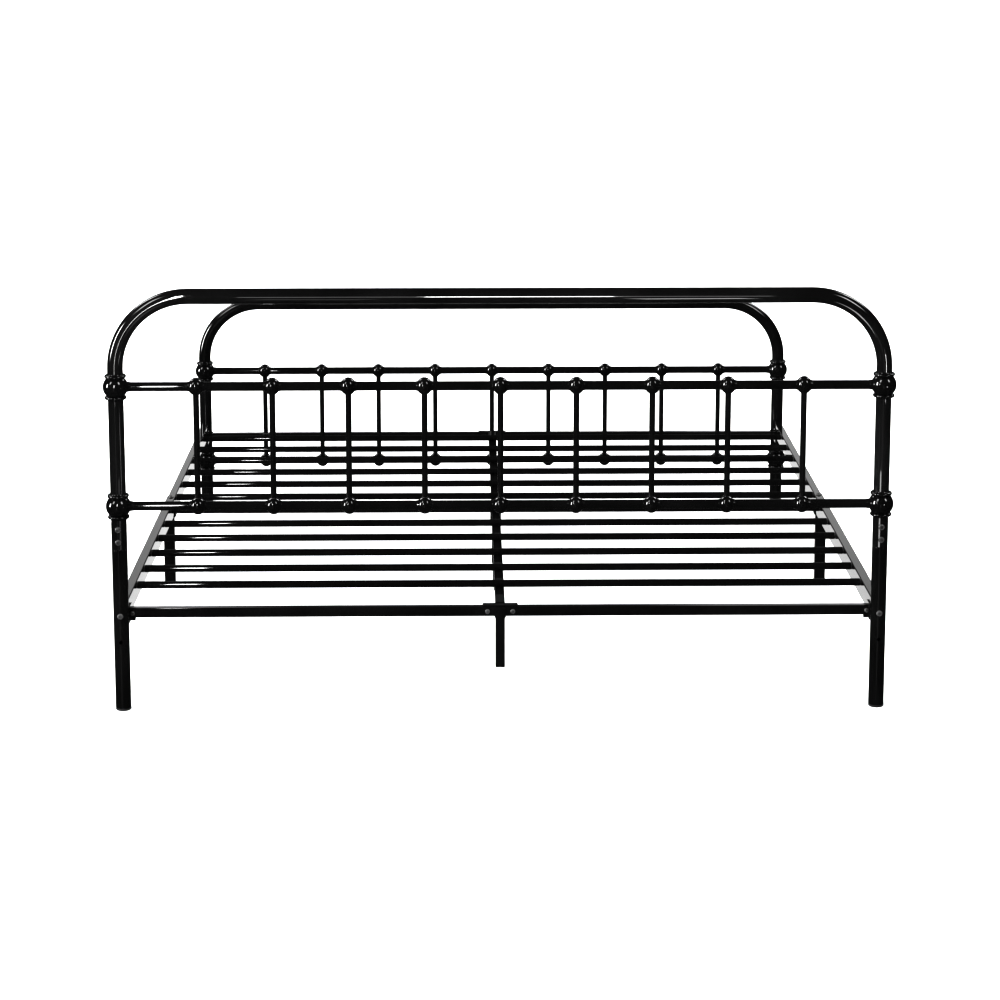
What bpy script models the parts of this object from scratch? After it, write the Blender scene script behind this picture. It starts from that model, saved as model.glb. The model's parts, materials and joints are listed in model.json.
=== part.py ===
"""A king-size tubular metal bed frame: headboard, footboard, side rails, cross rails, slats and legs.

Metres, +Z up. The origin is on the floor under the middle of the bed, the headboard is at -Y and +X is
the side on the right of somebody who faces the bed from behind its headboard.
"""

import math

import bmesh
import bpy

# Driving dimensions of the whole bed.
POST_SPACING_X = 1.925
POST_SPACING_Y = 2.050
HEAD_LOWER_RAIL_Z = 0.533
FOOT_LOWER_RAIL_Z = 0.142
RAIL_GAP = 0.307
RAIL_TO_HOOP = 0.229
HOOP_BEND_RADIUS = 0.183
GAP = 0.0003

# Tubes: outside radius and wall.
POST_RADIUS = 0.0195
POST_WALL = 0.0012
RAIL_RADIUS = 0.0115
RAIL_WALL = 0.0012
SPINDLE_RADIUS = 0.0075
SLAT_RADIUS = 0.0095
SLAT_WALL = 0.0010
ROUND_SIDES = 12
BEND_STEPS = 6

# Cast joints: a ball between two beads on each post, and a rosette at each end of a spindle.
CASTING_BALL_RADIUS = 0.0315
CASTING_BALL_HALF_HEIGHT = 0.0225
BEAD_RADIUS = 0.0272
BEAD_HALF_HEIGHT = 0.0315
CASTING_HALF_HEIGHT = 0.0340
CASTING_COLLAR_RADIUS = 0.0140
CASTING_COLLAR_REACH = 0.0370
# The castings' end faces line up with edges of the post, which the EXACT solver leaves open.
HOOP_SOLVER = "MANIFOLD"
ROSETTE_RADIUS = 0.0210
ROSETTE_NECK_Z = 0.0235
ROSETTE_SIDES = 8
SPINDLES = 9
SPINDLE_PITCH = 0.1905

# The headboard's posts stand on lower legs that plug into them.
SEAM_Z = 0.422
SPIGOT_TOP_Z = 0.496
SPIGOT_RADIUS = POST_RADIUS - POST_WALL - GAP
LEG_SCREW_Z = (0.443, 0.476)
LEG_SCREW_LENGTH = 0.010
RAIL_BOLT_Z = 0.250
SPARE_HOLE_Z = 0.181
HOLE_RADIUS = 0.0045
BOLT_RADIUS = 0.0040
BOLT_HEAD_RADIUS = 0.0080
BOLT_HEAD_HEIGHT = 0.0042
CAP_FLANGE = 0.0050
CAP_INSERT_TOP = 0.0200

# Deck: two-part side rails, a cross rail at each end, a centre beam and round slats.
SIDE_RAIL_WIDTH = 0.025
SIDE_RAIL_HEIGHT = 0.050
SIDE_RAIL_WALL = 0.0014
SIDE_RAIL_PLATE = 0.0030
SPLICE_END_Y = 0.055
SPLICE_BOLT_Y = 0.035
SPLICE_OVERLAP = 0.120
CROSS_RAIL_OFFSET = 0.060
CROSS_RAIL_DEPTH = 0.020
CROSS_RAIL_HEIGHT = 0.025
CROSS_RAIL_BOTTOM_Z = 0.225
CROSS_RAIL_WALL = 0.0012
END_PLATE_LENGTH = 0.040
END_PLATE_Z = (0.214, 0.257)
PLATE = 0.0030
BEAM_WIDTH = 0.0245
BEAM_Z = (0.230, 0.255)
TEE_WIDTH = 0.090
TEE_HOLE_X = 0.0325
SLATS = 12
SLAT_PITCH = 0.149
SLAT_Z = 0.265

# Legs under the deck.
LEG_WALL = 0.0015
CENTRE_LEG_Y = -0.010
CENTRE_LEG_WIDTH = 0.0225
CENTRE_LEG_BOTTOM_Z = 0.085
SADDLE_LENGTH = 0.050
SADDLE_Z = (0.212, 0.250)
FOOT_ROD_PROFILE = ((0.006, 0.0), (0.006, 0.020), (0.009, 0.022), (0.009, 0.125))
HEAD_LEG_WIDTH = 0.024
HEAD_LEG_BOTTOM_Z = 0.089
HEAD_LEG_TAB = (0.029, 0.0285)
SIDE_LEG_Y = 0.037
SIDE_LEG_X = 0.969
SIDE_LEG_SIZE = (0.032, 0.025)
SIDE_PLATE_LENGTH = 0.060
SIDE_FLANGE_LENGTH = 0.042
SIDE_FLANGE_TOP_Z = 0.250

HALF_X = POST_SPACING_X / 2
HALF_Y = POST_SPACING_Y / 2
POST_BOTTOM_Z = CAP_FLANGE + GAP
RAIL_FACE_X = HALF_X - SIDE_RAIL_WIDTH / 2
SIDES = {"left": -1, "right": 1}


def clear_scene():
    for thing in list(bpy.data.objects):
        bpy.data.objects.remove(thing, do_unlink=True)


def make_material(name, colour, roughness, metallic=0.0):
    material = bpy.data.materials.new(name)
    material.use_nodes = True
    shader = material.node_tree.nodes["Principled BSDF"]
    shader.inputs["Base Color"].default_value = (*colour, 1.0)
    shader.inputs["Roughness"].default_value = roughness
    shader.inputs["Metallic"].default_value = metallic
    return material


def lofted_mesh(name, loops, ring=False):
    """Bridges loops of points into one closed skin. A ring joins the last loop to the first."""
    work = bmesh.new()
    rows = [[work.verts.new(point) for point in loop] for loop in loops]
    pairs = list(zip(rows, rows[1:]))
    if ring:
        pairs.append((rows[-1], rows[0]))
    else:
        work.faces.new(rows[0])
        work.faces.new(rows[-1])
    for low, high in pairs:
        for i in range(len(low)):
            j = (i + 1) % len(low)
            work.faces.new((low[i], low[j], high[j], high[i]))
    bmesh.ops.remove_doubles(work, verts=work.verts, dist=1e-6)
    bmesh.ops.recalc_face_normals(work, faces=work.faces)
    mesh = bpy.data.meshes.new(name)
    work.to_mesh(mesh)
    work.free()
    mesh.shade_smooth()
    mesh.set_sharp_from_angle(angle=math.radians(40))
    return mesh


def circle(radius, z, sides, centre=(0.0, 0.0)):
    turn = 2 * math.pi / sides
    return [
        (centre[0] + radius * math.cos(i * turn), centre[1] + radius * math.sin(i * turn), z)
        for i in range(sides)
    ]


def rectangle(width, depth, z, centre=(0.0, 0.0)):
    x, y = width / 2, depth / 2
    corners = ((-x, -y), (x, -y), (x, y), (-x, y))
    return [(centre[0] + cx, centre[1] + cy, z) for cx, cy in corners]


def turned_mesh(name, profile, sides, ring=False):
    """Turns (radius, z) points about Z. The two ends close with a flat face, or at a pole."""
    return lofted_mesh(name, [circle(r, z, sides) for r, z in profile], ring)


def pipe_mesh(name, radius, wall, length, sides=ROUND_SIDES):
    half = length / 2
    inner = radius - wall
    profile = [(radius, -half), (radius, half), (inner, half), (inner, -half)]
    return turned_mesh(name, profile, sides, ring=True)


def block_mesh(name, size, centre=(0.0, 0.0, 0.0)):
    low, high = centre[2] - size[2] / 2, centre[2] + size[2] / 2
    loops = [rectangle(size[0], size[1], z, centre[:2]) for z in (low, high)]
    return lofted_mesh(name, loops)


def add_object(name, mesh, material, location=(0, 0, 0), rotation=(0, 0, 0)):
    thing = bpy.data.objects.new(name, mesh)
    thing.location = location
    thing.rotation_euler = rotation
    bpy.context.scene.collection.objects.link(thing)
    if material and not mesh.materials:
        mesh.materials.append(material)
    return thing


def add_tool(name, mesh, location=(0, 0, 0), rotation=(0, 0, 0)):
    """A shape that only shapes others: it is left out of renders and of the finished bed."""
    tool = add_object(name, mesh, None, location, rotation)
    tool.hide_render = True
    tool.display_type = "WIRE"
    return tool


def combine(thing, tool, operation, solver="EXACT"):
    modifier = thing.modifiers.new(f"{operation.lower()} {tool.name}", "BOOLEAN")
    modifier.operation = operation
    modifier.solver = solver
    modifier.object = tool


def drill_along_y(thing, name, place, length, solver="EXACT"):
    profile = [(HOLE_RADIUS, -length / 2), (HOLE_RADIUS, length / 2)]
    mesh = turned_mesh(name, profile, ROUND_SIDES)
    tool = add_tool(name, mesh, place, (math.pi / 2, 0, 0))
    combine(thing, tool, "DIFFERENCE", solver)


def bolt_profile(shank_length):
    """A domed head on top of a plain shank that reaches down from z = 0."""
    shoulder = BOLT_HEAD_HEIGHT * 0.45
    return [
        (BOLT_RADIUS, -shank_length),
        (BOLT_RADIUS, 0.0),
        (BOLT_HEAD_RADIUS, 0.0),
        (BOLT_HEAD_RADIUS, shoulder),
        (BOLT_HEAD_RADIUS * 0.55, BOLT_HEAD_HEIGHT),
    ]


def hoop_path(bottom_z, top_z):
    """Points (x, z, direction) up the left post, over the top and down the right post."""
    bend_x, bend_z = HALF_X - HOOP_BEND_RADIUS, top_z - HOOP_BEND_RADIUS
    path = [(-HALF_X, bottom_z, math.pi / 2)]
    for side, first in ((-1, math.pi), (1, math.pi / 2)):
        for step in range(BEND_STEPS + 1):
            angle = first - step * math.pi / 2 / BEND_STEPS
            x = side * bend_x + HOOP_BEND_RADIUS * math.cos(angle)
            z = bend_z + HOOP_BEND_RADIUS * math.sin(angle)
            path.append((x, z, angle - math.pi / 2))
    path.append((HALF_X, bottom_z, -math.pi / 2))
    return path


def hoop_mesh(name, path, radius):
    turn = 2 * math.pi / ROUND_SIDES
    loops = []
    for x, z, direction in path:
        out_x, out_z = -math.sin(direction), math.cos(direction)
        loop = []
        for i in range(ROUND_SIDES):
            across, along_y = radius * math.cos(i * turn), radius * math.sin(i * turn)
            loop.append((x + out_x * across, along_y, z + out_z * across))
        loops.append(loop)
    return lofted_mesh(name, loops)


def casting_mesh(name):
    """The cast ball and its two beads, turned about the post."""
    profile = [(POST_RADIUS * 0.8, -CASTING_HALF_HEIGHT), (POST_RADIUS * 1.02, -CASTING_HALF_HEIGHT)]
    profile += [(BEAD_RADIUS - 0.002, -BEAD_HALF_HEIGHT), (BEAD_RADIUS, -0.027)]
    profile += [(BEAD_RADIUS - 0.002, -CASTING_BALL_HALF_HEIGHT)]
    for step in range(-2, 3):
        z = CASTING_BALL_HALF_HEIGHT * math.sin(math.radians(45 * step))
        profile.append((math.sqrt(CASTING_BALL_RADIUS**2 - z**2), z))
    profile += [(r, -z) for r, z in reversed(profile[:5])]
    return turned_mesh(name, profile, ROUND_SIDES)


def make_hoop(end, y, bottom_z, lower_rail_z, material):
    """The bent post tube with the four castings on it, bored for the tube, the rails and the bolts."""
    top_z = lower_rail_z + RAIL_GAP + RAIL_TO_HOOP
    path = hoop_path(bottom_z, top_z)
    hoop = add_object(f"{end}_hoop", hoop_mesh(f"{end}_hoop", path, POST_RADIUS), material, (0, y, 0))
    casting = casting_mesh(f"{end}_casting")
    collar_profile = [(CASTING_COLLAR_RADIUS, 0.0), (CASTING_COLLAR_RADIUS - 0.0015, CASTING_COLLAR_REACH)]
    collar = turned_mesh(f"{end}_collar", collar_profile, ROUND_SIDES)
    for side in (-1, 1):
        for z in (lower_rail_z, lower_rail_z + RAIL_GAP):
            place = (side * HALF_X, y, z)
            combine(hoop, add_tool(f"{end} casting", casting, place), "UNION", HOOP_SOLVER)
            turned = (0, -side * math.pi / 2, 0)
            combine(hoop, add_tool(f"{end} collar", collar, place, turned), "UNION", HOOP_SOLVER)
    bore = hoop_mesh(f"{end}_bore", hoop_path(bottom_z - 0.05, top_z), POST_RADIUS - POST_WALL)
    combine(hoop, add_tool(f"{end} bore", bore, (0, y, 0)), "DIFFERENCE", HOOP_SOLVER)
    return hoop


def rail_bore(end, y, z):
    """The space that a rail takes, with its clearance. It cuts the castings and the rosettes."""
    length = rail_length() + 2 * GAP
    profile = [(RAIL_RADIUS + GAP, -length / 2), (RAIL_RADIUS + GAP, length / 2)]
    mesh = turned_mesh(f"{end}_rail_bore", profile, ROUND_SIDES)
    return add_tool(f"{end} rail bore", mesh, (0, y, z), (0, math.pi / 2, 0))


def rail_length():
    return POST_SPACING_X - 2 * (POST_RADIUS + 2 * GAP)


def spindle_mesh():
    """A rod with a cast ball at each end, centred on the two rails."""
    lower = []
    for degrees in (-90, -60, -36, -12, 12, 36, 58):
        angle = math.radians(degrees)
        lower.append((ROSETTE_RADIUS * math.cos(angle), ROSETTE_RADIUS * math.sin(angle)))
    lower.append((SPINDLE_RADIUS, ROSETTE_NECK_Z))
    upper = [(r, RAIL_GAP - z) for r, z in reversed(lower)]
    return turned_mesh("spindle", lower + upper, ROSETTE_SIDES)


def make_end_panel(end, y, lower_rail_z, hoop, paint, spindle):
    """Two rails and the nine spindles between them. The hoop's castings hold the rails' ends."""
    bores = []
    for name, z in (("lower", lower_rail_z), ("upper", lower_rail_z + RAIL_GAP)):
        pipe = pipe_mesh(f"{end}_{name}_rail", RAIL_RADIUS, RAIL_WALL, rail_length())
        add_object(f"{end}_{name}_rail", pipe, paint, (0, y, z), (0, math.pi / 2, 0))
        bores.append(rail_bore(end, y, z))
    for bore in bores:
        combine(hoop, bore, "DIFFERENCE", HOOP_SOLVER)
    for number in range(SPINDLES):
        x = (number - (SPINDLES - 1) / 2) * SPINDLE_PITCH
        rod = add_object(f"{end}_spindle_{number + 1}", spindle, paint, (x, y, lower_rail_z))
        for bore in bores:
            combine(rod, bore, "DIFFERENCE")


def head_leg_mesh():
    """The lower leg: a tube whose top is swaged down to plug into the hoop's post."""
    inner = POST_RADIUS - POST_WALL
    spigot_inner = SPIGOT_RADIUS - 0.0015
    seam = SEAM_Z - GAP
    profile = [(POST_RADIUS, POST_BOTTOM_Z), (POST_RADIUS, seam), (SPIGOT_RADIUS, seam)]
    profile += [(SPIGOT_RADIUS, SPIGOT_TOP_Z), (spigot_inner, SPIGOT_TOP_Z), (spigot_inner, seam - 0.003)]
    profile += [(inner, seam - 0.006), (inner, POST_BOTTOM_Z)]
    return turned_mesh("head_leg", profile, ROUND_SIDES, ring=True)


def make_head_legs(hoop, paint):
    """Each lower leg carries its two fixing screws, whose heads clamp the hoop's post onto it."""
    leg_mesh = head_leg_mesh()
    screw = turned_mesh("leg_screw", bolt_profile(LEG_SCREW_LENGTH), ROUND_SIDES)
    for side_name, side in SIDES.items():
        x = side * HALF_X
        leg = add_object(f"head_leg_{side_name}", leg_mesh, paint, (x, -HALF_Y, 0))
        for z in LEG_SCREW_Z:
            face_y = -HALF_Y - POST_RADIUS - GAP
            combine(leg, add_tool("leg screw", screw, (x, face_y, z), (math.pi / 2, 0, 0)), "UNION")
            front = (x, -HALF_Y - POST_RADIUS, z)
            drill_along_y(hoop, "leg screw hole", front, POST_RADIUS, HOOP_SOLVER)
        drill_post(leg, x, -HALF_Y)


def drill_post(post, x, y, solver="EXACT"):
    """The side rail's bolt hole and the spare hole for the lower deck height, right through a post."""
    for z in (RAIL_BOLT_Z, SPARE_HOLE_Z):
        drill_along_y(post, "post hole", (x, y, z), 4 * POST_RADIUS, solver)


def make_foot_caps(plastic):
    insert = POST_RADIUS - POST_WALL - GAP
    profile = [(0.0, 0.0), (POST_RADIUS, 0.0), (POST_RADIUS, CAP_FLANGE), (insert, CAP_FLANGE)]
    profile += [(insert, CAP_INSERT_TOP), (0.0, CAP_INSERT_TOP)]
    cap = turned_mesh("foot_cap", profile, ROUND_SIDES)
    for end, y in (("head", -HALF_Y), ("foot", HALF_Y)):
        for side_name, side in SIDES.items():
            add_object(f"floor_cap_{end}_{side_name}", cap, plastic, (side * HALF_X, y, 0))


def make_rail_bolts(steel):
    """A bolt through each post into the end of the side rail."""
    length = 2 * POST_RADIUS + 0.025
    bolt = turned_mesh("rail_bolt", bolt_profile(length), ROUND_SIDES)
    for end, outward in (("head", -1), ("foot", 1)):
        for side_name, side in SIDES.items():
            place = (side * HALF_X, outward * (HALF_Y + POST_RADIUS + GAP), RAIL_BOLT_Z)
            turned = (-outward * math.pi / 2, 0, 0)
            add_object(f"{end}_rail_bolt_{side_name}", bolt, steel, place, turned)


def make_side_rail(name, x, y_span, closed_end, size, paint):
    """A rectangular tube along Y with a welded plate at its post end, drilled for the rail bolt."""
    width, height = size
    length = y_span[1] - y_span[0]
    middle = (y_span[0] + y_span[1]) / 2
    rail = add_object(name, block_mesh(name, (width, length, height)), paint, (x, middle, RAIL_BOLT_Z))
    hollow_size = (width - 2 * SIDE_RAIL_WALL, length, height - 2 * SIDE_RAIL_WALL)
    hollow = block_mesh(f"{name} hollow", hollow_size)
    shift = -closed_end * SIDE_RAIL_PLATE
    tool = add_tool(f"{name} hollow", hollow, (x, middle + shift, RAIL_BOLT_Z))
    combine(rail, tool, "DIFFERENCE")
    plate_y = middle + closed_end * length / 2
    drill_along_y(rail, f"{name} bolt hole", (x, plate_y, RAIL_BOLT_Z), 0.02)
    return rail


def make_side_rails(paint, steel):
    """Each side rail is an outer half from the headboard and a slimmer half that slides into it."""
    outer = (SIDE_RAIL_WIDTH, SIDE_RAIL_HEIGHT)
    slimmer = 2 * (SIDE_RAIL_WALL + GAP)
    inner = (SIDE_RAIL_WIDTH - slimmer, SIDE_RAIL_HEIGHT - slimmer)
    post_face = HALF_Y - POST_RADIUS - GAP
    head_span = (-post_face, SPLICE_END_Y)
    foot_span = (SPLICE_END_Y - SPLICE_OVERLAP, post_face)
    top_z = RAIL_BOLT_Z + SIDE_RAIL_HEIGHT / 2
    bolt = turned_mesh("splice_bolt", bolt_profile(0.020), ROUND_SIDES)
    hole = turned_mesh("splice_hole", [(HOLE_RADIUS, -0.01), (HOLE_RADIUS, 0.01)], ROUND_SIDES)
    for side_name, side in SIDES.items():
        x = side * HALF_X
        head = make_side_rail(f"side_rail_{side_name}_head_half", x, head_span, -1, outer, paint)
        foot = make_side_rail(f"side_rail_{side_name}_foot_half", x, foot_span, 1, inner, paint)
        drill = add_tool("splice hole", hole, (x, SPLICE_BOLT_Y, top_z))
        combine(head, drill, "DIFFERENCE")
        combine(foot, drill, "DIFFERENCE")
        add_object(f"splice_bolt_{side_name}", bolt, steel, (x, SPLICE_BOLT_Y, top_z + GAP))


def inner_face_x(y):
    """How far the side rails' inner faces are from the middle of the bed. The foot half is slimmer."""
    step = SIDE_RAIL_WALL + GAP
    return RAIL_FACE_X if y < SPLICE_END_Y else RAIL_FACE_X + step


def make_cross_rail(end, outward, paint):
    """A rectangular tube across the bed with a plate on each end against the side rails."""
    y = outward * (HALF_Y - CROSS_RAIL_OFFSET)
    z = CROSS_RAIL_BOTTOM_Z + CROSS_RAIL_HEIGHT / 2
    plate_x = inner_face_x(y) - GAP - PLATE / 2
    name = f"{end}_cross_rail"
    tube = block_mesh(name, (2 * plate_x, CROSS_RAIL_DEPTH, CROSS_RAIL_HEIGHT))
    rail = add_object(name, tube, paint, (0, y, z))
    plate_height = END_PLATE_Z[1] - END_PLATE_Z[0]
    plate = block_mesh(f"{name} plate", (PLATE, END_PLATE_LENGTH, plate_height))
    for side in (-1, 1):
        place = (side * plate_x, y, sum(END_PLATE_Z) / 2)
        combine(rail, add_tool(f"{name} plate", plate, place), "UNION")
    wall = 2 * CROSS_RAIL_WALL
    hollow_size = (2 * plate_x - 2 * PLATE, CROSS_RAIL_DEPTH - wall, CROSS_RAIL_HEIGHT - wall)
    hollow = add_tool(f"{name} hollow", block_mesh(f"{name} hollow", hollow_size), (0, y, z))
    combine(rail, hollow, "DIFFERENCE")
    for side in (-1, 1):
        drill_along_y(rail, f"{name} tee hole", (side * TEE_HOLE_X, y, z), 2 * CROSS_RAIL_DEPTH)


def make_centre_beam(paint):
    """A tube along the middle with a welded tee plate at each end that laps over its cross rail."""
    inner_face = HALF_Y - CROSS_RAIL_OFFSET - CROSS_RAIL_DEPTH / 2
    half_length = inner_face - GAP
    z = sum(BEAM_Z) / 2
    height = BEAM_Z[1] - BEAM_Z[0]
    beam_mesh = block_mesh("centre_beam", (BEAM_WIDTH, 2 * half_length - PLATE, height))
    beam = add_object("centre_beam", beam_mesh, paint, (0, 0, z))
    rail_top = CROSS_RAIL_BOTTOM_Z + CROSS_RAIL_HEIGHT
    flange_top = rail_top + GAP + PLATE
    plate_height = flange_top - CROSS_RAIL_BOTTOM_Z
    plate = block_mesh("tee plate", (TEE_WIDTH, PLATE, plate_height))
    flange = block_mesh("tee flange", (TEE_WIDTH, CROSS_RAIL_DEPTH, PLATE))
    for outward in (-1, 1):
        place = (0, outward * (half_length - PLATE / 2), CROSS_RAIL_BOTTOM_Z + plate_height / 2)
        combine(beam, add_tool("tee plate", plate, place), "UNION")
        flange_y = outward * (half_length - PLATE / 2 + CROSS_RAIL_DEPTH / 2)
        place = (0, flange_y, rail_top + GAP + PLATE / 2)
        combine(beam, add_tool("tee flange", flange, place), "UNION")
    wall = 2 * CROSS_RAIL_WALL
    hollow_size = (BEAM_WIDTH - wall, 2 * (half_length - PLATE), height - wall)
    hollow = add_tool("beam hollow", block_mesh("beam hollow", hollow_size), (0, 0, z))
    combine(beam, hollow, "DIFFERENCE")
    hole_z = CROSS_RAIL_BOTTOM_Z + CROSS_RAIL_HEIGHT / 2
    for outward in (-1, 1):
        for x in (-TEE_HOLE_X, 0.0, TEE_HOLE_X):
            drill_along_y(beam, "tee hole", (x, outward * (half_length - PLATE / 2), hole_z), 3 * PLATE)


def make_slats(paint):
    """Round tubes from side rail to side rail, level with the rails' tops."""
    for number in range(SLATS):
        y = (number - (SLATS - 1) / 2) * SLAT_PITCH
        reach = inner_face_x(y) - GAP
        pipe = pipe_mesh(f"slat_{number + 1}", SLAT_RADIUS, SLAT_WALL, 2 * reach)
        add_object(f"slat_{number + 1:02d}", pipe, paint, (0, y, SLAT_Z), (0, math.pi / 2, 0))


def make_leg(name, size, x, y, bottom_z, top_z, paint):
    """A rectangular tube that is open at the bottom and has a plate across its top."""
    height = top_z - bottom_z
    leg = add_object(name, block_mesh(name, (*size, height)), paint, (x, y, (top_z + bottom_z) / 2))
    inner = (size[0] - 2 * LEG_WALL, size[1] - 2 * LEG_WALL, height)
    hollow = add_tool(f"{name} hollow", block_mesh(f"{name} hollow", inner), leg.location)
    hollow.location.z -= PLATE
    return leg, hollow


def make_centre_leg(paint, plastic):
    """The middle leg: a saddle holds the centre beam between two cheeks, and a screwed foot stands below."""
    seat_z = BEAM_Z[0] - GAP
    size = (CENTRE_LEG_WIDTH, CENTRE_LEG_WIDTH)
    leg, hollow = make_leg("centre_leg", size, 0, CENTRE_LEG_Y, CENTRE_LEG_BOTTOM_Z, seat_z, paint)
    cheek_gap = BEAM_WIDTH + 2 * GAP
    height = SADDLE_Z[1] - SADDLE_Z[0]
    saddle = block_mesh("centre saddle", (cheek_gap + 2 * PLATE, SADDLE_LENGTH, height))
    place = (0, CENTRE_LEG_Y, sum(SADDLE_Z) / 2)
    combine(leg, add_tool("centre saddle", saddle, place), "UNION")
    trough = block_mesh("saddle trough", (cheek_gap, 2 * SADDLE_LENGTH, height), (0, 0, height / 2))
    combine(leg, add_tool("saddle trough", trough, (0, CENTRE_LEG_Y, seat_z)), "DIFFERENCE")
    combine(leg, hollow, "DIFFERENCE")
    foot = turned_mesh("centre_leg_foot", FOOT_ROD_PROFILE, ROUND_SIDES)
    add_object("centre_leg_foot", foot, plastic, (0, CENTRE_LEG_Y, 0))


def make_head_centre_leg(paint):
    """The short leg under the head cross rail, with a tab that laps over the rail's front."""
    y = -(HALF_Y - CROSS_RAIL_OFFSET)
    top_z = CROSS_RAIL_BOTTOM_Z - GAP
    size = (HEAD_LEG_WIDTH, HEAD_LEG_WIDTH)
    leg, hollow = make_leg("head_centre_leg", size, 0, y, HEAD_LEG_BOTTOM_Z, top_z, paint)
    combine(leg, hollow, "DIFFERENCE")
    tab_width, tab_height = HEAD_LEG_TAB
    tab = block_mesh("head leg tab", (tab_width, PLATE, tab_height))
    tab_y = y - CROSS_RAIL_DEPTH / 2 - GAP - PLATE / 2
    rail_top = CROSS_RAIL_BOTTOM_Z + CROSS_RAIL_HEIGHT
    combine(leg, add_tool("head leg tab", tab, (0, tab_y, rail_top - tab_height / 2)), "UNION")


def make_side_legs(paint):
    """Legs at the middle of the side rails: a tube, a base plate and a flange up the rail's inner face."""
    plate_top = RAIL_BOLT_Z - SIDE_RAIL_HEIGHT / 2 - GAP
    inner_x = RAIL_FACE_X - GAP - PLATE
    outer_x = SIDE_LEG_X + SIDE_LEG_SIZE[0] / 2 + PLATE / 2
    base = block_mesh("side base", (outer_x - inner_x, SIDE_PLATE_LENGTH, PLATE))
    flange_height = SIDE_FLANGE_TOP_Z - (plate_top - PLATE)
    flange = block_mesh("side flange", (PLATE, SIDE_FLANGE_LENGTH, flange_height))
    for side_name, side in SIDES.items():
        x = side * SIDE_LEG_X
        leg, hollow = make_leg(f"side_leg_{side_name}", SIDE_LEG_SIZE, x, SIDE_LEG_Y, 0.0, plate_top, paint)
        place = (side * (inner_x + outer_x) / 2, SIDE_LEG_Y, plate_top - PLATE / 2)
        combine(leg, add_tool("side base", base, place), "UNION")
        place = (side * (inner_x + PLATE / 2), SIDE_LEG_Y, plate_top - PLATE + flange_height / 2)
        combine(leg, add_tool("side flange", flange, place), "UNION")
        combine(leg, hollow, "DIFFERENCE")


def main():
    clear_scene()
    paint = make_material("black paint", (0.008, 0.008, 0.009), 0.18)
    steel = make_material("black bolts", (0.012, 0.012, 0.013), 0.30, 0.6)
    plastic = make_material("black plastic", (0.010, 0.010, 0.010), 0.55)
    spindle = spindle_mesh()
    head_hoop = make_hoop("head", -HALF_Y, SEAM_Z, HEAD_LOWER_RAIL_Z, paint)
    make_end_panel("head", -HALF_Y, HEAD_LOWER_RAIL_Z, head_hoop, paint, spindle)
    make_head_legs(head_hoop, paint)
    foot_hoop = make_hoop("foot", HALF_Y, POST_BOTTOM_Z, FOOT_LOWER_RAIL_Z, paint)
    make_end_panel("foot", HALF_Y, FOOT_LOWER_RAIL_Z, foot_hoop, paint, spindle)
    for side in (-1, 1):
        drill_post(foot_hoop, side * HALF_X, HALF_Y, HOOP_SOLVER)
    make_foot_caps(plastic)
    make_rail_bolts(steel)
    make_side_rails(paint, steel)
    make_cross_rail("head", -1, paint)
    make_cross_rail("foot", 1, paint)
    make_centre_beam(paint)
    make_slats(paint)
    make_centre_leg(paint, plastic)
    make_head_centre_leg(paint)
    make_side_legs(paint)


main()
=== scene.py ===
"""How the black metal bed frame looks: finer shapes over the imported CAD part, gloss paint, soft light."""

import json
import math

import bmesh
import bpy
from mathutils import Matrix, Vector

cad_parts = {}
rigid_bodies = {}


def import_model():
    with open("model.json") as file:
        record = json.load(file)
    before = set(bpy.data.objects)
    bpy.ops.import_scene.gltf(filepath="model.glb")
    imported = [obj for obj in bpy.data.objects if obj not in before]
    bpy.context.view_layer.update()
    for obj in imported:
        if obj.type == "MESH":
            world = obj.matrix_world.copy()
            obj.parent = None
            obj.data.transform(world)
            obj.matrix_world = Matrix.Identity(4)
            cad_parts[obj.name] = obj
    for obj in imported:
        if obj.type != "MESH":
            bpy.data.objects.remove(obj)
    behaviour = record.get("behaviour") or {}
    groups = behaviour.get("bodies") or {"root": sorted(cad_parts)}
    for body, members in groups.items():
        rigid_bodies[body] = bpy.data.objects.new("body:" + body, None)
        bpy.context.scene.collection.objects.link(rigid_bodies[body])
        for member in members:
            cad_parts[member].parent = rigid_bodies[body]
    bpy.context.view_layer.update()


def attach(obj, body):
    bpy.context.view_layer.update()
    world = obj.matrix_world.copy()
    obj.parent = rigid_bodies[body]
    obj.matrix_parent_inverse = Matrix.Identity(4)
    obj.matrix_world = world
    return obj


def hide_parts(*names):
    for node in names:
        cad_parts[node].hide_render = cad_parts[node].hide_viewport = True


# The bed, in metres. These repeat the CAD part's dimensions.
HALF_X = 0.9625
HALF_Y = 1.025
RAIL_GAP = 0.307
RAIL_TO_HOOP = 0.229
HEAD_LOWER_RAIL_Z = 0.533
FOOT_LOWER_RAIL_Z = 0.142
BEND_RADIUS = 0.183
POST_RADIUS = 0.0195
POST_WALL = 0.0012
RAIL_RADIUS = 0.0115
SPINDLE_RADIUS = 0.0075
SPINDLES = 9
SPINDLE_PITCH = 0.1905
SLATS = 12
SLAT_PITCH = 0.149
SLAT_RADIUS = 0.0095
SLAT_Z = 0.265
PLUG_LIP = 0.0022
SEAM_Z = 0.422
RAIL_BOLT_Z = 0.250
SPARE_HOLE_Z = 0.181
HOLE_RADIUS = 0.0045
HOLE_MARGIN = 0.0065
LEG_SCREW_Z = (0.443, 0.476)
CAP_FLANGE = 0.0050
SWAGE_TOP_Z = 0.496
SWAGE_WALL = 0.0015
SIDE_RAIL_SIZE = (0.0250, 0.0500)
SLIDE_SIZE = (0.0216, 0.0466)
SIDE_RAIL_WALL = 0.0014
SPLICE_END_Y = 0.055
SPLICE_BOLT_Y = 0.035
SLIDE_END_Y = -0.065
SIDE_RAIL_TOP_Z = 0.275
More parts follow.
